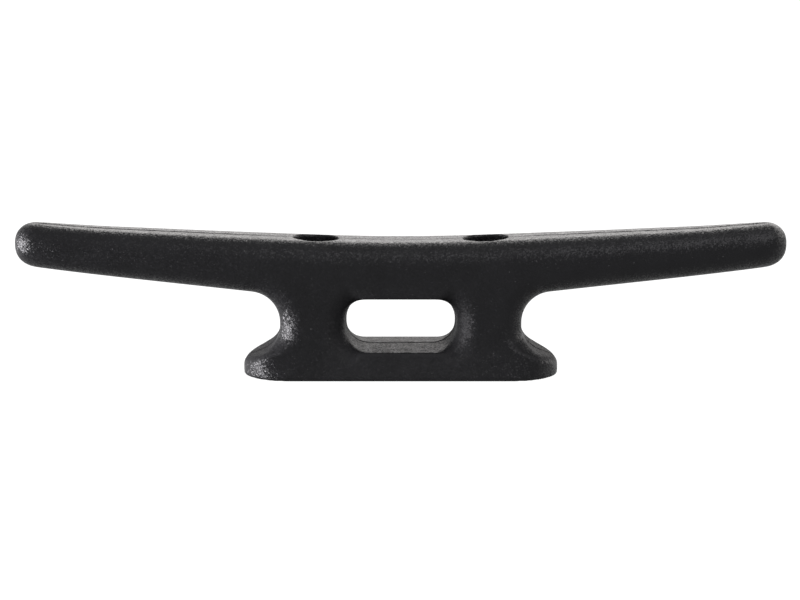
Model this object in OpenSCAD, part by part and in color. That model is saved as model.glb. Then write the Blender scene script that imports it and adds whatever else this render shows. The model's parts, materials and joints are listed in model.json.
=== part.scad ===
// Open-base horn cleat, moulded in one piece from glass-filled nylon.
// X runs along the horns, Y runs across them, and Z is up from the mounting face.
// The origin is on the mounting face, midway between the two screw holes.
// The mould opens along Y, so the cleat is the same on both sides of the plane Y = 0.

/* [Horns] */
// Length over the two horn tips
cleat_length = 165; // [155:1:175]
// Height of the horns above the mounting face, near their tips
horn_height = 32.2; // [31.8:0.1:34]
// Height of the crown at the middle of the cleat
crown_height = 28.8; // [27.5:0.1:30]
// Slope of the top over most of its length, as rise over run
crown_slope = 0.05; // [0.03:0.002:0.06]
// Depth of a horn from its top to its underside, near its tip
tip_depth = 9.3; // [8.6:0.1:10]
// Width of a horn near its tip
tip_width = 12.2; // [10:0.2:13]
// Angle at which a horn's underside climbs towards the tip
underside_angle = 6; // [5:0.1:6.8]
// Radius of the long edges of the horns
shoulder_r = 4; // [3:0.1:4.2]

/* [Legs] */
// Width of the body across the legs
body_width = 18.4; // [16:0.2:19.6]
// Distance over the outside of the two legs at their narrowest
leg_span = 51.5; // [49:0.1:53]
// Height at which the legs are narrowest, at the lower end of their upright stretch
waist_height = 10.8; // [10:0.1:11]
// Radius of each throat below the waist, down to the toe
lower_throat_r = 6.3; // [5:0.1:6.5]
// Radius of each throat above the waist, up to the horn's underside
upper_throat_r = 6.6; // [5.5:0.1:6.9]
// Radius of the upright edges of the legs
leg_edge_r = 5; // [3:0.1:6]

/* [Base] */
// Length of the base over its two toes
base_length = 67.2; // [64:0.2:72]
// Width of the base at the mounting face
base_width = 23; // [22:0.5:26]
// Corner radius of the base, seen from above
base_corner_r = 10.6; // [6:0.2:10.8]
// Slope of the top of each toe, in degrees
toe_slope = 20; // [18:1:28]
// Radius of the edge round the top of each toe
toe_round_r = 1.6; // [1:0.1:2.5]

/* [Eye] */
// Width of the eye between the legs, at the parting plane
eye_width = 23.4; // [20:0.2:24]
// Height of the eye at the parting plane
eye_height = 10.3; // [9.9:0.1:10.5]
// Height of the eye's floor above the mounting face
eye_floor = 6.4; // [5.6:0.1:7]
// Corner radius of the eye
eye_corner_r = 4.9; // [3:0.1:5]
// Draft of the eye's walls away from the parting plane, in degrees
eye_draft = 3; // [1:0.1:5]
// Radius that softens the eye's upright edges for the rope
eye_edge_r = 3; // [1:0.1:3.5]

/* [Screw holes] */
// Distance between the two screw holes
screw_spacing = 36.3; // [35.5:0.1:37.5]
// Diameter of each through hole, for a 5 mm or number 10 screw
screw_bore_d = 5.2; // [4.3:0.1:5.6]
// Diameter of the recess that takes the screw's head
recess_d = 9.7; // [8:0.1:10]
// Depth of the recess's upright wall below the top of the body
recess_depth = 4; // [2:0.5:6]
// Included angle of the countersink under the screw's head
countersink_angle = 90; // [82:1:100]

/* [Hidden] */

half_length = cleat_length / 2;
// The rounded end of a horn is a little longer than half of the horn's depth
tip_length = 0.56 * tip_depth;
tip_start = half_length - tip_length;
// Exponent of the horn end's outline: 2 is a circle, and more is blunter
tip_bluntness = 2.35;
// Half of the length over which the two slopes of the top blend at the middle
crown_blend = 19;
// Distance from the middle at which the top starts to lift a little more
tip_lift_start = 0.8 * tip_start;
// How the horns narrow from the body to the tip: 1 is a straight taper
taper_power = 1.5;
taper_start = screw_spacing / 2 + recess_d / 2;

half_body = body_width / 2;
half_base = base_width / 2;
half_legs = leg_span / 2;
half_toes = base_length / 2;
// Height over which the sides of the base sweep in to the width of the body
side_sweep = 5.5;
// Corner radius of the legs, seen from above, where they meet the horns
throat_corner_r = 7.5;
// Corner radius of the toes, seen from above, before the plan of the base cuts them
toe_corner_r = 4;
// Heights between which the corner radius grows from the toe's to the leg's
toe_corner_low = 4.5;
toe_corner_high = 9;
// How far a toe's own outline runs past the end of the base, which cuts it off
toe_overlap = 0.5;
// Height inside the horns at which the legs end
leg_top = 23;

floor_cut = 2;
// Half of the depth cut for the eye, past both faces of the body
eye_reach = 14;

corner_steps = 6;
horn_steps = 13;
tip_steps = 8;
arc_steps = 9;
wall_steps = 3;
toe_steps = 5;
eye_steps = 6;
$fn = 96;

// ---- Lofting ----

// Points round a rectangle that has round corners
function ring(half_u, half_v, r) = [
    for (corner = [0:3], step = [0:corner_steps])
        let (
            angle = 90 * (corner + step / corner_steps),
            side_u = (corner == 0 || corner == 3) ? 1 : -1,
            side_v = corner < 2 ? 1 : -1
        )
        [side_u * (half_u - r) + r * cos(angle), side_v * (half_v - r) + r * sin(angle)]
];

// A solid skinned over rings that have the same number of points
module loft(rings) {
    count = len(rings[0]);
    last = len(rings) - 1;
    points = [for (r = rings, p = r) p];
    sides = [
        for (i = [0:last - 1], j = [0:count - 1])
            let (k = (j + 1) % count)
            [i * count + j, (i + 1) * count + j, (i + 1) * count + k, i * count + k]
    ];
    first_cap = [for (j = [0:count - 1]) j];
    last_cap = [for (j = [0:count - 1]) last * count + count - 1 - j];
    polyhedron(points, concat(sides, [first_cap, last_cap]));
}

// A smooth step from 0 at 'from' to 1 at 'to'
function ease(value, from, to) =
    let (share = min(1, max(0, (value - from) / (to - from))))
    share * share * (3 - 2 * share);

// ---- Horns ----

// Height of the top without the extra lift at the tips
function plain_top(t) = crown_height + crown_slope * (sqrt(t * t + crown_blend * crown_blend) - crown_blend);

tip_lift = horn_height - plain_top(tip_start);

function top_at(t) =
    plain_top(t) + tip_lift * pow(max(0, t - tip_lift_start) / (tip_start - tip_lift_start), 2);

function underside_at(t) = horn_height - tip_depth - tan(underside_angle) * (tip_start - t);

function horn_half_width(t) =
    let (share = max(0, t - taper_start) / (tip_start - taper_start))
    half_body - (half_body - tip_width / 2) * pow(share, taper_power);

// How far a section has closed towards the tip: 1 along the horn, almost 0 at its end
function tip_scale(t) =
    let (share = min(0.998, max(0, t - tip_start) / tip_length))
    pow(1 - pow(share, tip_bluntness), 1 / tip_bluntness);

function horn_ring(x) =
    let (
        t = abs(x),
        scale = tip_scale(t),
        half_depth = scale * (top_at(t) - underside_at(t)) / 2,
        middle = (top_at(t) + underside_at(t)) / 2,
        half_width = scale * horn_half_width(t)
    )
    [for (p = ring(half_width, half_depth, scale * shoulder_r)) [x, p[0], p[1] + middle]];

// Distances from the middle to the sections of one horn, closer together at the tip
horn_stations = concat(
    [for (i = [1:horn_steps]) tip_start * i / horn_steps],
    [for (i = [1:tip_steps]) tip_start + tip_length * sin(90 * i / tip_steps)]
);

module horns() {
    last = len(horn_stations) - 1;
    loft(concat(
        [for (i = [last:-1:0]) horn_ring(-horn_stations[i])],
        [horn_ring(0)],
        [for (t = horn_stations) horn_ring(t)]
    ));
}

// ---- Legs and base ----

lower_centre = [half_legs + lower_throat_r, waist_height];
// The upper throat's arc is tangent to the horn's underside
upper_centre_x = half_legs + upper_throat_r;
upper_centre = [
    upper_centre_x,
    underside_at(upper_centre_x) - upper_throat_r / cos(underside_angle)
];
// The arc stops a little short of the underside, so that no thin edge is left under the horn
throat_sweep = 62;
throat_end_x = upper_centre_x - upper_throat_r * cos(throat_sweep);
slope_start = lower_centre - lower_throat_r * [sin(toe_slope), cos(toe_slope)];
// The toe's rounding is tangent to its slope and to its end
toe_end = half_toes + toe_overlap;
toe_centre_x = toe_end - toe_round_r;
toe_centre = [
    toe_centre_x,
    slope_start[1] - tan(toe_slope) * (toe_centre_x - slope_start[0]) - toe_round_r / cos(toe_slope)
];

// Outline of one leg, toe and throat, as half-length and height, from the mounting face up
leg_outline = concat(
    [[toe_end, -floor_cut]],
    [for (i = [0:wall_steps]) [toe_end, toe_centre[1] * i / (wall_steps + 1)]],
    [
        for (i = [0:toe_steps])
            let (angle = (90 - toe_slope) * i / toe_steps)
            toe_centre + toe_round_r * [cos(angle), sin(angle)]
    ],
    [
        for (i = [0:arc_steps])
            let (angle = 270 - toe_slope - (90 - toe_slope) * i / arc_steps)
            lower_centre + lower_throat_r * [cos(angle), sin(angle)]
    ],
    [
        for (i = [0:arc_steps])
            let (angle = 180 - throat_sweep * i / arc_steps)
            upper_centre + upper_throat_r * [cos(angle), sin(angle)]
    ],
    [[throat_end_x, leg_top - 3], [half_legs, leg_top]]
);

function side_at(z) = half_body - 0.1 + (half_base - half_body + 0.1) * exp(-max(0, z) / side_sweep);

// The legs' corners are tightest on the toes and widest under the horns
function leg_corner_at(z) =
    toe_corner_r
    + (leg_edge_r - toe_corner_r) * ease(z, toe_corner_low, toe_corner_high)
    + (throat_corner_r - leg_edge_r) * ease(z, waist_height + 2, upper_centre[1] + upper_throat_r);

module legs_and_toes() {
    loft([
        for (p = leg_outline)
            [for (q = ring(p[0], side_at(p[1]), leg_corner_at(p[1]))) [q[0], q[1], p[1]]]
    ]);
}

// The upright block, with the base's own plan, that bounds the toes
module base_plan() {
    translate([0, 0, -floor_cut])
        linear_extrude(leg_top + floor_cut + 1)
            polygon(ring(half_toes, half_base + toe_overlap, base_corner_r));
}

module legs_and_base() {
    intersection() {
        legs_and_toes();
        base_plan();
    }
}

// ---- Openings ----

// Growth of the eye's rounded edge at a distance from the parting plane
function edge_growth(y) =
    let (into = min(0.98, max(0, y - (half_body - eye_edge_r)) / eye_edge_r))
    eye_edge_r * (1 - sqrt(1 - into * into));

function eye_ring(y) =
    let (
        draft = abs(y) * tan(eye_draft),
        half_wide = eye_width / 2 + draft + edge_growth(abs(y)),
        half_high = eye_height / 2 + draft,
        middle = eye_floor + eye_height / 2
    )
    [for (p = ring(half_high, half_wide, eye_corner_r + draft)) [p[1], y, p[0] + middle]];

// Distances from the parting plane to the eye's sections, closer together at the rounded edge
eye_stations = concat(
    [half_body - eye_edge_r],
    [for (i = [1:eye_steps]) half_body - eye_edge_r + 0.98 * eye_edge_r * sin(90 * i / eye_steps)],
    [eye_reach]
);

module eye() {
    last = len(eye_stations) - 1;
    loft(concat(
        [for (i = [last:-1:0]) eye_ring(-eye_stations[i])],
        [eye_ring(0)],
        [for (y = eye_stations) eye_ring(y)]
    ));
}

module screw_hole() {
    recess_floor = crown_height - recess_depth;
    cone_height = (recess_d - screw_bore_d) / 2 / tan(countersink_angle / 2);
    translate([0, 0, -floor_cut])
        cylinder(d = screw_bore_d, h = recess_floor + floor_cut);
    translate([0, 0, recess_floor - cone_height])
        cylinder(d1 = screw_bore_d, d2 = recess_d, h = cone_height);
    translate([0, 0, recess_floor])
        cylinder(d = recess_d, h = horn_height);
}

// ---- Part ----

module cleat_body() {
    color("#1c1c1e")
        difference() {
            union() {
                horns();
                legs_and_base();
            }
            eye();
            for (side = [-1, 1])
                translate([side * screw_spacing / 2, 0, 0]) screw_hole();
            translate([-base_length, -base_width, -2 * floor_cut])
                cube([2 * base_length, 2 * base_width, 2 * floor_cut]);
        }
}

cleat_body();
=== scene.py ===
"""Looks of the horn cleat: one nylon moulding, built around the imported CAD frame.

The moulding's surface is the zero level of a distance field. The field is worked out in
millimetres, in the frame's own axes: X along the horns, Y across them, Z up from the
mounting face. The mould opens along Y, so the field is the same on both sides of Y = 0.
"""

import json
import math

import bpy
import numpy as np
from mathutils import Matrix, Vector


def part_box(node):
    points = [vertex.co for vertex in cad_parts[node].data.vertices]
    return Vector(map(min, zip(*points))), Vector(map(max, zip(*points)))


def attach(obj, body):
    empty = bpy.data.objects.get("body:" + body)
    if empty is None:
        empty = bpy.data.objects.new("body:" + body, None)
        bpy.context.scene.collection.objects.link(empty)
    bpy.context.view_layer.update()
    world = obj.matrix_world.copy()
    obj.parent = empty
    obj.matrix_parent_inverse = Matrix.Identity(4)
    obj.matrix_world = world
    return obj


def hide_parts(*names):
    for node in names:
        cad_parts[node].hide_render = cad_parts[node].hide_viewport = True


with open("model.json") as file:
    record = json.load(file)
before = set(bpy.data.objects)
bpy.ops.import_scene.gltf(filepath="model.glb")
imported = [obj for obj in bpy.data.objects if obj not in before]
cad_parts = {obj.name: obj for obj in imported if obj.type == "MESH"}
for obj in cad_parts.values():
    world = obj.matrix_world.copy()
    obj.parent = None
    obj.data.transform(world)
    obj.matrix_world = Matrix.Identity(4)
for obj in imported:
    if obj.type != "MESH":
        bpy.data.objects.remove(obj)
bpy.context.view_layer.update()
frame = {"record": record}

MM = 0.001
NODE = "cleat_body"

# ---- Driving dimensions of the moulding, in millimetres ----

# The overall size is the CAD body's, and the screw holes are the row's mount
body_low, body_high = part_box(NODE)
LENGTH, BASE_WIDTH, TOP_HEIGHT = ((body_high[i] - body_low[i]) / MM for i in range(3))
screw_mount = next(mount for mount in frame["record"]["mounts"] if mount["name"] == "screw_holes")
SCREW_SPACING = screw_mount["dims"]["spacing_x_mm"]
BORE_R = screw_mount["dims"]["hole_r_mm"]

# Horns. A start is a distance from the middle along X
HALF_LENGTH = LENGTH / 2
TIP_DEPTH = 9.3
TIP_LENGTH = 0.56 * TIP_DEPTH
TIP_START = HALF_LENGTH - TIP_LENGTH
# Exponent of the tip's outline: 2 is a circle, and more is blunter
TIP_BLUNTNESS = 2.35
TIP_WIDTH = 12.2
TIP_NARROWING = 1.1
NARROWING_START = HALF_LENGTH - 10.0
CROWN_HEIGHT = 28.8
# Rise over run of the top, and half the length over which its two slopes blend
CROWN_SLOPE = 0.05
CROWN_BLEND = 19.0
LIFT_START = 0.8 * TIP_START
UNDERSIDE_SLOPE = math.radians(6.0)
SHOULDER_R = 5.0
HORN_EDGE_R = 4.2
TIP_EDGE_R = 4.5
# Along X, the edge radius eases from the shoulder's to the horn's, and from there to the tip's
SHOULDER_TO_HORN = (35.0, 66.0)
HORN_TO_TIP = (66.0, TIP_START)

# Legs and base
BODY_WIDTH = 18.4
TAPER_START = 23.0
# 1 is a straight taper from the legs to the tips
TAPER_POWER = 1.5
HALF_LEGS = 25.75
WAIST_HEIGHT = 10.8
LOWER_THROAT_R = 6.3
UPPER_THROAT_R = 6.6
LEG_EDGE_R = 5.0
HALF_TOES = 33.6
TOE_SLOPE = math.radians(20)
TOE_EDGE_R = 1.6
# Heights over which the edge radius eases from the toe's to the leg's, and from there to the horn's
TOE_TO_LEG = (4.0, 9.0)
LEG_TO_HORN = (14.0, 18.0)
# Height over which the base's sides sweep in to the width of the body
SIDE_SWEEP = 5.5
# What the rounding between the sides and the plan takes off each side of the base
SWEEP_ALLOWANCE = 0.42
# The base seen from above: its corner radius, how far it stays clear of the sides, and its top
PLAN_R = BASE_WIDTH / 2 - 0.2
PLAN_CLEARANCE = 0.5
PLAN_TOP = 9.0
BOTTOM_EDGE_R = 0.3

# Eye
EYE_WIDTH = 23.4
EYE_HEIGHT = 10.3
EYE_FLOOR = 6.4
EYE_CORNER_R = 4.9
# How far each wall opens for every millimetre away from the parting plane
EYE_DRAFT = math.tan(math.radians(3.0))
EYE_SIDE_EDGE_R = 4.5
EYE_FLAT_EDGE_R = 0.4
# Distances from the middle over which the flat edges' radius eases to the side edges'
EYE_FLAT_TO_SIDE = (7.5, 11.5)

# Screw holes
RECESS_R = 4.85
RECESS_DEPTH = 4.0
HOLE_EDGE_R = 0.25

# Parting line
RIDGE_HEIGHT = 0.14
RIDGE_HALF_WIDTH = 0.13
# Heights over which the ridge comes onto the top, and distances from the middle over which the
# crown ends and over which the ridge ends
RIDGE_ONTO_TOP = (20.0, 24.0)
RIDGE_OFF_CROWN = (20.0, 40.0)
RIDGE_FADE = (HALF_LENGTH - 6.0, HALF_LENGTH - 1.0)

# ---- Finish of the nylon, and light ----

# Size of the largest grains, in metres, and how far each one leans
GRAIN_SIZE = 0.00030
GRAIN_LEAN = 0.32
# Roughness, least and most, where hands and ropes rub, inside the eye, and on the tops of the toes
RUBBED = (0.32, 0.42)
IN_EYE = (0.50, 0.65)
ON_TOES = (0.66, 0.82)
SHEEN = 0.17
# Where the finish of the eye and of the low parts ends, in metres from the middle and from the
# base, and how far each takes to fade
EYE_REACH = 0.0170
EYE_FADE = 0.003
LOW_HEIGHT = 0.014
LOW_FADE = 0.008
# How much a face looks up where the toes' finish starts, and where it is full
UPWARD = (0.3, 0.7)
# The nylon's colour in its darkest and its palest patches, and how pale a scuff is
DARK_PATCH = (0.0036, 0.0036, 0.0042)
PALE_PATCH = (0.0052, 0.0052, 0.0060)
SCUFF = 0.03
# Noise scales, per metre
PATCH_SCALE = 160
GLOSS_SCALE = 500
SCUFF_SCALE = 1500
BUMP_SCALE = 2500
# Noise levels where a pattern is at its least and at its most
NOISE_LOW, NOISE_HIGH = 0.3, 0.7
SCUFF_LOW, SCUFF_HIGH = 0.75, 0.82
BUMP_STRENGTH = 0.5
BUMP_DEPTH = 0.00005

# How bright the floor and the room are for the cleat: the camera sees both as white
FLOOR_COLOUR = (0.12, 0.12, 0.12, 1)
FLOOR_GLOW = 0.62
ROOM_GLOW = 0.70
# Tints of the lights
WARM = (1.0, 0.965, 0.95)
COOL = (0.98, 0.96, 1.0)

# Camera, in metres: it aims at a point that is lower than itself by the drop
CAMERA_SIDE = -0.00015
CAMERA_DISTANCE = 0.650
CAMERA_HEIGHT = 0.1247
CAMERA_DROP = 0.1091
CAMERA_TILT = math.atan2(CAMERA_DROP, CAMERA_DISTANCE)
# Focal length and width of the sensor, in millimetres
LENS = 138.2
SENSOR_WIDTH = 36.0

# ---- Small maths ----


def ease(value, start, end):
    """A smooth step from 0 at start to 1 at end."""
    share = np.clip((value - start) / (end - start), 0, 1)
    return share * share * (3 - 2 * share)


def both(a, b, radius):
    """The distance to what is inside both of two shapes, with their common edge rounded."""
    corner = np.hypot(np.maximum(a + radius, 0), np.maximum(b + radius, 0))
    return np.minimum(-radius, np.maximum(a, b)) + corner


def round_rectangle(u, v, half_u, half_v, radius):
    """The distance to a rectangle with round corners."""
    past_u = np.abs(u) - half_u + radius
    past_v = np.abs(v) - half_v + radius
    outside = np.hypot(np.maximum(past_u, 0), np.maximum(past_v, 0))
    return outside + np.minimum(np.maximum(past_u, past_v), 0) - radius


def arc(centre, radius, start, end, count):
    """Points along an arc, from one angle to another, in radians."""
    angles = np.linspace(start, end, count)
    return [(centre[0] + radius * math.cos(a), centre[1] + radius * math.sin(a)) for a in angles]


# ---- Side outline of the moulding ----


def plain_top(t):
    """Height of the top at a distance t from the middle, without the lift at the tips."""
    return CROWN_HEIGHT + CROWN_SLOPE * (np.hypot(t, CROWN_BLEND) - CROWN_BLEND)


def top_at(t):
    """Height of the top, which lifts a little more towards the tips."""
    lift = TOP_HEIGHT - plain_top(TIP_START)
    share = np.maximum(0, t - LIFT_START) / (TIP_START - LIFT_START)
    return plain_top(t) + lift * share**1.5


def underside_at(t):
    return TOP_HEIGHT - TIP_DEPTH - math.tan(UNDERSIDE_SLOPE) * (TIP_START - t)


def horn_half_width(t):
    share = np.maximum(0, t - TAPER_START) / (TIP_START - TAPER_START)
    narrowing = np.maximum(0, t - NARROWING_START) / (HALF_LENGTH - NARROWING_START)
    taper = (BODY_WIDTH - TIP_WIDTH) * share**TAPER_POWER
    return (BODY_WIDTH - taper) / 2 - TIP_NARROWING * narrowing**2


def tip_points(side, steps=24):
    """The top half (side 1) or bottom half (side -1) of a horn's rounded end."""
    points = []
    half_depth = (top_at(TIP_START) - underside_at(TIP_START)) / 2
    start_middle = top_at(TIP_START) - half_depth
    rise = TIP_LENGTH * math.tan(UNDERSIDE_SLOPE)
    for angle in np.linspace(0, math.pi / 2, steps)[1:]:
        share = math.sin(angle)
        closing = max(0.0, 1 - share**TIP_BLUNTNESS) ** (1 / TIP_BLUNTNESS)
        middle = start_middle + rise * (share - share**2 / 2)
        points.append((TIP_START + TIP_LENGTH * share, middle + side * half_depth * closing))
    return points


def side_outline():
    """The right half of the side view, from the middle of the crown round to the base."""
    points = [(t, top_at(t)) for t in np.linspace(0, TIP_START, 100)]
    points += tip_points(1)
    points += tip_points(-1)[-2::-1]
    points.append((TIP_START, underside_at(TIP_START)))
    upper_x = HALF_LEGS + UPPER_THROAT_R
    upper_z = underside_at(upper_x) - UPPER_THROAT_R / math.cos(UNDERSIDE_SLOPE)
    points += arc((upper_x, upper_z), UPPER_THROAT_R, math.pi / 2 + UNDERSIDE_SLOPE, math.pi, 18)
    lower = (HALF_LEGS + LOWER_THROAT_R, WAIST_HEIGHT)
    points += arc(lower, LOWER_THROAT_R, math.pi, 1.5 * math.pi - TOE_SLOPE, 18)
    # The toe's slope runs past the base's end, and the base's plan cuts it
    slope_run = 12.0
    start = points[-1]
    points.append((start[0] + slope_run, start[1] - math.tan(TOE_SLOPE) * slope_run))
    # The mounting face cuts off what is below it
    depth_below = -12.0
    points.append((points[-1][0], depth_below))
    points.append((0.0, depth_below))
    return np.array(points)


OUTLINE = side_outline()


def outline_distance(x, z, chunk=20000):
    """The distance to the side outline in the XZ plane, below zero inside it."""
    start, step = OUTLINE[:-1], np.diff(OUTLINE, axis=0)
    length_2 = np.maximum((step**2).sum(1), 1e-12)
    loop_end = np.roll(OUTLINE, -1, axis=0)
    rise = loop_end[:, 1] - OUTLINE[:, 1]
    rise[rise == 0] = 1e-12
    shape = np.broadcast(x, z).shape
    px = np.abs(np.broadcast_to(x, shape)).ravel()
    pz = np.broadcast_to(z, shape).ravel()
    result = np.empty(px.size)
    for i in range(0, px.size, chunk):
        u, v = px[i : i + chunk, None], pz[i : i + chunk, None]
        from_x, from_z = u - start[:, 0], v - start[:, 1]
        along = np.clip((from_x * step[:, 0] + from_z * step[:, 1]) / length_2, 0, 1)
        near = (from_x - along * step[:, 0]) ** 2 + (from_z - along * step[:, 1]) ** 2
        crossed = (OUTLINE[:, 1] > v) != (loop_end[:, 1] > v)
        crossing = OUTLINE[:, 0] + (loop_end[:, 0] - OUTLINE[:, 0]) * (v - OUTLINE[:, 1]) / rise
        inside = (crossed & (u < crossing)).sum(1) % 2 == 1
        result[i : i + chunk] = np.where(inside, -1, 1) * np.sqrt(near.min(1))
    return result.reshape(shape)


# ---- The moulding's distance field ----


def sides(x, y, z):
    """The distance past the moulding's two side faces, which sweep out to the base."""
    reach = (BASE_WIDTH - BODY_WIDTH) / 2 + SWEEP_ALLOWANCE
    sweep = reach * np.exp(-np.maximum(z, 0) / SIDE_SWEEP)
    return np.abs(y) - horn_half_width(np.abs(x)) - sweep


def edge_radius(x, z):
    """Radius of the edge between the side outline and the side faces."""
    t = np.abs(x)
    horn = SHOULDER_R + (HORN_EDGE_R - SHOULDER_R) * ease(t, *SHOULDER_TO_HORN)
    horn = horn + (TIP_EDGE_R - HORN_EDGE_R) * ease(t, *HORN_TO_TIP)
    leg = TOE_EDGE_R + (LEG_EDGE_R - TOE_EDGE_R) * ease(z, *TOE_TO_LEG)
    return leg + (horn - leg) * ease(z, *LEG_TO_HORN)


def base_plan(x, y):
    """The distance past the base's outline seen from above."""
    return round_rectangle(x, y, HALF_TOES, BASE_WIDTH / 2 + PLAN_CLEARANCE, PLAN_R)


def eye(x, y, z):
    """The distance to the eye's opening, which widens both ways from the parting plane."""
    draft = np.abs(y) * EYE_DRAFT
    middle = EYE_FLOOR + EYE_HEIGHT / 2
    return round_rectangle(x, z - middle, EYE_WIDTH / 2 + draft, EYE_HEIGHT / 2 + draft, EYE_CORNER_R)


def eye_edge_radius(x):
    """The eye's edges are soft where the rope turns, beside the legs, and crisp above and below."""
    to_side = ease(np.abs(x), *EYE_FLAT_TO_SIDE)
    return EYE_FLAT_EDGE_R + (EYE_SIDE_EDGE_R - EYE_FLAT_EDGE_R) * to_side


def parting_ridge(x, y, z):
    """Height of the ridge where the mould's halves met: fainter on the crown, gone at the tips."""
    t = np.abs(x)
    uneven = 0.85 + 0.15 * np.sin(0.9 * x) * np.sin(0.23 * x + 1)
    on_crown = ease(z, *RIDGE_ONTO_TOP) * (1 - ease(t, *RIDGE_OFF_CROWN))
    at_tip = ease(t, *RIDGE_FADE)
    strength = (1 - 0.5 * on_crown) * (1 - at_tip)
    return RIDGE_HEIGHT * uneven * strength * np.exp(-((y / RIDGE_HALF_WIDTH) ** 2))


def screw_hole(x, y, z):
    """The distance to the nearer screw hole: recess, countersink and bore."""
    r = np.hypot(np.abs(x) - SCREW_SPACING / 2, y)
    floor = CROWN_HEIGHT - RECESS_DEPTH
    cone_foot = floor - (RECESS_R - BORE_R)
    recess = np.maximum(r - RECESS_R, floor - z)
    cone = np.maximum((r - BORE_R - (z - cone_foot)) / math.sqrt(2), z - floor)
    return np.minimum(np.minimum(recess, cone), r - BORE_R)


def moulding(x, y, z, side=None):
    """The whole moulding's field. side is the outline's distance, where it is known already."""
    if side is None:
        side = outline_distance(x, z)
    solid = both(side, sides(x, y, z), edge_radius(x, z))
    solid = np.where(z < PLAN_TOP, both(solid, base_plan(x, y), TOE_EDGE_R), solid)
    solid = both(solid, -eye(x, y, z), eye_edge_radius(x))
    solid = solid - parting_ridge(x, y, z)
    solid = both(solid, -screw_hole(x, y, z), HOLE_EDGE_R)
    return both(solid, -z, BOTTOM_EDGE_R)


# ---- Meshing the field ----


def spaced(*stretches):
    """Grid lines over stretches of (start, end, spacing), mirrored about zero."""
    lines = [np.linspace(a, b, round((b - a) / gap) + 1)[:-1] for a, b, gap in stretches]
    half = np.append(np.concatenate(lines), stretches[-1][1])
    return np.concatenate([-half[:0:-1], half])


def grid_lines():
    """Grid lines along X, Y and Z: close together at the parting line and the screw holes."""
    cell = 0.5
    fine = 0.33
    ridge = 0.12
    # The lines are close together half a millimetre past the recess as well
    hole_low = SCREW_SPACING / 2 - RECESS_R - 0.5
    hole_high = SCREW_SPACING / 2 + RECESS_R + 0.5
    along = spaced((0, hole_low, cell), (hole_low, hole_high, fine), (hole_high, HALF_LENGTH + 1, cell))
    ridge_end, hole_end = 3 * ridge, RECESS_R + 0.4
    across = spaced((0, ridge_end, ridge), (ridge_end, hole_end, fine), (hole_end, BASE_WIDTH / 2 + 1, cell))
    up = np.arange(-1.5 * cell, TOP_HEIGHT + 2 * cell, cell)
    return along, across, up


def part_of(array, axis, start, stop):
    """A slice of an array along one axis."""
    index = [slice(None)] * 3
    index[axis] = slice(start, stop)
    return array[tuple(index)]


def along_axis(values, axis):
    """A list of numbers, shaped to run along one axis of the grid."""
    shape = [1, 1, 1]
    shape[axis] = -1
    return values.reshape(shape)


def cell_points(lines, field):
    """One point in every cell that the surface passes, at the mean of where it cuts the edges."""
    cells = [len(line) - 1 for line in lines]
    count = np.zeros(cells)
    total = [np.zeros(cells) for _ in range(3)]
    for axis in range(3):
        low, high = part_of(field, axis, None, -1), part_of(field, axis, 1, None)
        cut = (low < 0) != (high < 0)
        share = np.where(cut, low / np.where(cut, low - high, 1), 0)
        place = along_axis(lines[axis][:-1], axis) + share * along_axis(np.diff(lines[axis]), axis)
        one, two = [a for a in range(3) if a != axis]
        for i in (0, 1):
            for j in (0, 1):
                here = part_of(part_of(cut, one, i, i + cells[one]), two, j, j + cells[two])
                at = part_of(part_of(place, one, i, i + cells[one]), two, j, j + cells[two])
                count += here
                total[axis] += np.where(here, at, 0)
                total[one] += here * along_axis(lines[one][i : i + cells[one]], one)
                total[two] += here * along_axis(lines[two][j : j + cells[two]], two)
    used = count > 0
    number = np.full(cells, -1)
    number[used] = np.arange(used.sum())
    return np.stack([t[used] / count[used] for t in total], axis=1), number


def cell_quads(field, number):
    """A four-sided face for every grid edge that the surface cuts, facing outwards."""
    inside = field < 0
    faces = []
    for axis in range(3):
        one, two = (axis + 1) % 3, (axis + 2) % 3
        inner = part_of(part_of(inside, one, 1, -1), two, 1, -1)
        low, high = part_of(inner, axis, None, -1), part_of(inner, axis, 1, None)
        where = np.nonzero(low != high)

        def corner(i, j):
            index = list(where)
            index[one] = where[one] + i
            index[two] = where[two] + j
            return number[tuple(index)]

        quads = np.stack([corner(0, 0), corner(1, 0), corner(1, 1), corner(0, 1)], axis=1)
        backwards = high[where]
        quads[backwards] = quads[backwards][:, ::-1]
        faces.append(quads)
    return np.concatenate(faces)


def settle(points, rounds=2, probe=0.01, furthest=0.4):
    """Moves points onto the surface along the field's slope. Lengths are in millimetres."""
    for _ in range(rounds):
        value = moulding(*points.T)
        slope = np.empty_like(points)
        for axis in range(3):
            step = np.zeros(3)
            step[axis] = probe
            slope[:, axis] = (moulding(*(points + step).T) - value) / probe
        steepness = np.maximum((slope**2).sum(1), 0.25)
        points = points - np.clip(value / steepness, -furthest, furthest)[:, None] * slope
    return points


def moulding_mesh(name):
    """The field's surface as a closed mesh of four-sided faces, in metres."""
    lines = grid_lines()
    x, y, z = (along_axis(line, axis) for axis, line in enumerate(lines))
    field = moulding(x, y, z, side=outline_distance(x, z))
    points, number = cell_points(lines, field)
    quads = cell_quads(field, number)
    points = settle(points)
    mesh = bpy.data.meshes.new(name)
    mesh.from_pydata((points * MM).tolist(), [], quads.tolist())
    mesh.validate()
    mesh.shade_smooth()
    return mesh


# ---- Material ----


def link(tree, source, output, target, entry):
    tree.links.new(source.outputs[output], target.inputs[entry])


def noise(tree, coordinates, scale, detail=2.0, roughness=0.5):
    node = tree.nodes.new("ShaderNodeTexNoise")
    node.inputs["Scale"].default_value = scale
    node.inputs["Detail"].default_value = detail
    node.inputs["Roughness"].default_value = roughness
    link(tree, coordinates, "Object", node, "Vector")
    return node


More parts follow.
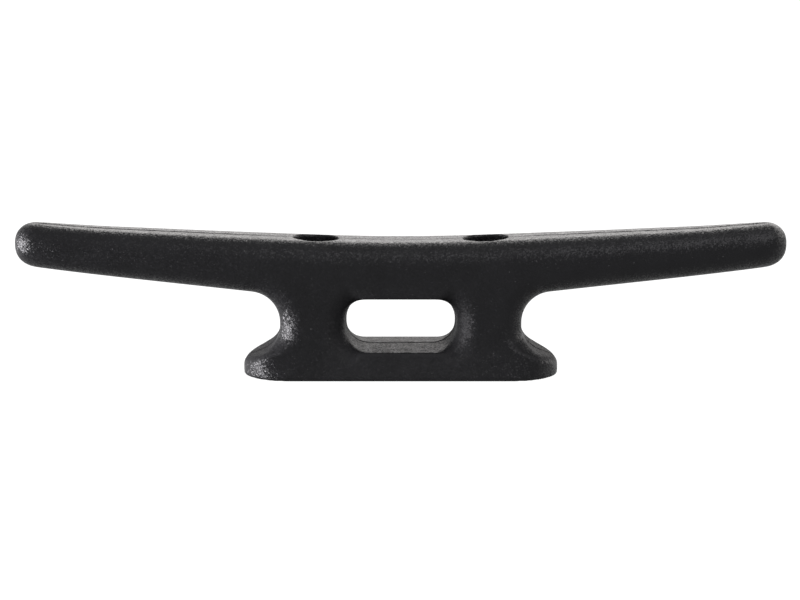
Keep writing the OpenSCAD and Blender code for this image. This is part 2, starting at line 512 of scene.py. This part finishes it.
def cells(tree, coordinates, scale):
    """Small random cells, each with a colour of its own."""
    node = tree.nodes.new("ShaderNodeTexVoronoi")
    node.inputs["Scale"].default_value = scale
    link(tree, coordinates, "Object", node, "Vector")
    return node


def vector_math(tree, operation, first, second=None):
    """A vector operation on the outputs given as (node, output), or on a fixed vector."""
    node = tree.nodes.new("ShaderNodeVectorMath")
    node.operation = operation
    for entry, source in enumerate((first, second)):
        if source is None:
            continue
        if isinstance(source[0], float):
            node.inputs[entry].default_value = source
        else:
            link(tree, *source, node, entry)
    return node


def ramp(tree, source, output, stops):
    """A ramp of grey levels or colours: stops are (position, level)."""
    node = tree.nodes.new("ShaderNodeValToRGB")
    elements = node.color_ramp.elements
    while len(elements) < len(stops):
        elements.new(0.5)
    for element, (position, level) in zip(elements, stops):
        element.position = position
        element.color = (level, level, level, 1) if isinstance(level, (int, float)) else (*level, 1)
    link(tree, source, output, node, "Fac")
    return node


def grain_normal(tree, coordinates):
    """The spark-eroded grain: every small cell of the surface leans its own way."""
    total = (tree.nodes.new("ShaderNodeNewGeometry"), "Normal")
    for size in (GRAIN_SIZE, 0.6 * GRAIN_SIZE):
        grain = cells(tree, coordinates, 1 / size)
        centred = vector_math(tree, "SUBTRACT", (grain, "Color"), (0.5, 0.5, 0.5))
        leaning = vector_math(tree, "MULTIPLY", (centred, "Vector"), (GRAIN_LEAN,) * 3)
        total = (vector_math(tree, "ADD", total, (leaning, "Vector")), "Vector")
    return vector_math(tree, "NORMALIZE", total)


def share_between(tree, source, output, low, high):
    """A smooth factor, 0 where a value is low and 1 where it is high."""
    share = tree.nodes.new("ShaderNodeMapRange")
    share.interpolation_type = "SMOOTHSTEP"
    share.inputs["From Min"].default_value = low
    share.inputs["From Max"].default_value = high
    link(tree, source, output, share, "Value")
    return share


def calculated(tree, operation, first, second=None):
    """A calculation on the outputs given as (node, output), or on a fixed number."""
    node = tree.nodes.new("ShaderNodeMath")
    node.operation = operation
    for entry, source in enumerate((first, second)):
        if source is None:
            continue
        if isinstance(source, (int, float)):
            node.inputs[entry].default_value = source
        else:
            link(tree, *source, node, entry)
    return node


def mixed(tree, share, low, high):
    """A level between two that are given as (node, output), by a share of 0 to 1."""
    node = tree.nodes.new("ShaderNodeMix")
    node.data_type = "RGBA"
    low_entry, high_entry = [entry for entry in node.inputs if entry.type == "RGBA"]
    link(tree, share, "Value", node, "Factor")
    tree.links.new(low[0].outputs[low[1]], low_entry)
    tree.links.new(high[0].outputs[high[1]], high_entry)
    return node, next(i for i, out in enumerate(node.outputs) if out.type == "RGBA")


def roughness(tree, coordinates):
    """Smoothest where hands and ropes rub, matt in the eye, and mattest on the tops of the toes."""
    place = tree.nodes.new("ShaderNodeSeparateXYZ")
    link(tree, coordinates, "Object", place, "Vector")
    facing = tree.nodes.new("ShaderNodeSeparateXYZ")
    link(tree, coordinates, "Normal", facing, "Vector")
    from_middle = calculated(tree, "ABSOLUTE", (place, "X"))
    low = share_between(tree, place, "Z", LOW_HEIGHT + LOW_FADE, LOW_HEIGHT)
    within = share_between(tree, from_middle, "Value", EYE_REACH, EYE_REACH - EYE_FADE)
    upward = share_between(tree, facing, "Z", *UPWARD)
    in_eye = calculated(tree, "MULTIPLY", (low, "Result"), (within, "Result"))
    outside = calculated(tree, "SUBTRACT", 1.0, (within, "Result"))
    low_outside = calculated(tree, "MULTIPLY", (low, "Result"), (outside, "Value"))
    on_toes = calculated(tree, "MULTIPLY", (low_outside, "Value"), (upward, "Result"))

    gloss = noise(tree, coordinates, GLOSS_SCALE, 4, 0.6)
    levels = []
    for least, most in (RUBBED, IN_EYE, ON_TOES):
        levels.append((ramp(tree, gloss, "Fac", [(NOISE_LOW, least), (NOISE_HIGH, most)]), "Color"))
    rubbed, eye_level, toe_level = levels
    return mixed(tree, on_toes, mixed(tree, in_eye, rubbed, eye_level), toe_level)


def black(tree, coordinates):
    """The nylon's own colour, with soft patches and a few tiny pale scuffs."""
    patches = noise(tree, coordinates, PATCH_SCALE, 3)
    patch_colour = ramp(tree, patches, "Fac", [(NOISE_LOW, DARK_PATCH), (NOISE_HIGH, PALE_PATCH)])
    scuffs = noise(tree, coordinates, SCUFF_SCALE, 1)
    scuff_colour = ramp(tree, scuffs, "Fac", [(SCUFF_LOW, 0.0), (SCUFF_HIGH, SCUFF)])
    return vector_math(tree, "ADD", (patch_colour, "Color"), (scuff_colour, "Color"))


def nylon():
    """Black glass-filled nylon with a fine spark-eroded grain."""
    material = bpy.data.materials.new("black_nylon")
    material.use_nodes = True
    tree = material.node_tree
    shader = tree.nodes["Principled BSDF"]
    coordinates = tree.nodes.new("ShaderNodeTexCoord")
    link(tree, black(tree, coordinates), "Vector", shader, "Base Color")
    finish, output = roughness(tree, coordinates)
    link(tree, finish, output, shader, "Roughness")
    shader.inputs["Specular IOR Level"].default_value = SHEEN

    bump = tree.nodes.new("ShaderNodeBump")
    bump.inputs["Strength"].default_value = BUMP_STRENGTH
    bump.inputs["Distance"].default_value = BUMP_DEPTH
    link(tree, noise(tree, coordinates, BUMP_SCALE, 2), "Fac", bump, "Height")
    link(tree, grain_normal(tree, coordinates), "Vector", bump, "Normal")
    link(tree, bump, "Normal", shader, "Normal")
    return material


# ---- Studio ----


def white_for_camera(tree, glow):
    """A brightness that is 1 for the camera and the given glow for everything else."""
    path = tree.nodes.new("ShaderNodeLightPath")
    pick = tree.nodes.new("ShaderNodeMix")
    pick.data_type = "FLOAT"
    pick.inputs["A"].default_value = glow
    pick.inputs["B"].default_value = 1.0
    link(tree, path, "Is Camera Ray", pick, "Factor")
    return pick


def floor_material():
    """A white floor that glows by itself, so that shadows on it stay faint."""
    material = bpy.data.materials.new("studio_white")
    material.use_nodes = True
    tree = material.node_tree
    shader = tree.nodes["Principled BSDF"]
    shader.inputs["Base Color"].default_value = FLOOR_COLOUR
    shader.inputs["Roughness"].default_value = 1.0
    shader.inputs["Specular IOR Level"].default_value = 0.0
    shader.inputs["Emission Color"].default_value = (1, 1, 1, 1)
    link(tree, white_for_camera(tree, FLOOR_GLOW), "Result", shader, "Emission Strength")
    return material


def make_floor():
    """A square floor, a hair under the mounting face so that the two don't share a plane."""
    half, under = 6.0, -0.00002
    mesh = bpy.data.meshes.new("studio_floor")
    corners = [(-half, -half, under), (half, -half, under), (half, half, under), (-half, half, under)]
    mesh.from_pydata(corners, [], [(0, 1, 2, 3)])
    mesh.materials.append(floor_material())
    floor = bpy.data.objects.new("studio_floor", mesh)
    bpy.context.scene.collection.objects.link(floor)


def make_world():
    """A pale room that the camera sees as white."""
    world = bpy.data.worlds.new("studio")
    world.use_nodes = True
    bpy.context.scene.world = world
    tree = world.node_tree
    background = tree.nodes["Background"]
    link(tree, white_for_camera(tree, ROOM_GLOW), "Result", background, "Strength")
    background.inputs["Color"].default_value = (1, 1, 1, 1)


def soft_box(name, place, size, glow, tint, target=(0, 0, 0.015)):
    """A rectangular area light at a place in metres, facing the target. A glow of 1 reads as white."""
    light = bpy.data.lights.new(name, "AREA")
    light.shape = "RECTANGLE"
    light.size, light.size_y = size
    light.energy = glow * math.pi * size[0] * size[1]
    light.color = tint
    lamp = bpy.data.objects.new(name, light)
    lamp.location = place
    lamp.rotation_euler = (Vector(target) - Vector(place)).to_track_quat("-Z", "Y").to_euler()
    bpy.context.scene.collection.objects.link(lamp)


def make_camera():
    """A long lens in front of the cleat, a little above it."""
    data = bpy.data.cameras.new("camera")
    data.sensor_width = SENSOR_WIDTH
    data.lens = LENS
    data.clip_start = 0.01
    camera = bpy.data.objects.new("camera", data)
    camera.location = (CAMERA_SIDE, -CAMERA_DISTANCE, CAMERA_HEIGHT)
    camera.rotation_euler = (math.pi / 2 - CAMERA_TILT, 0, 0)
    bpy.context.scene.collection.objects.link(camera)
    bpy.context.scene.camera = camera


# ---- The scene ----

bpy.context.scene.view_settings.view_transform = "Standard"

cleat = bpy.data.objects.new("cleat_moulding", moulding_mesh("cleat_moulding"))
bpy.context.scene.collection.objects.link(cleat)
cleat.data.materials.append(nylon())
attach(cleat, "root")
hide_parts(NODE)

make_floor()
make_world()
# The left box stands low, so that it lights the ends and the legs and only grazes the top
soft_box("left_box", (-0.60, -0.05, 0.022), (0.46, 0.04), 205.0, COOL)
soft_box("back_box", (0.60, 1.0, 0.55), (2.4, 0.8), 2.3, WARM)
soft_box("right_box", (0.42, -0.50, 0.75), (0.5, 0.7), 5.0, COOL)
make_camera()
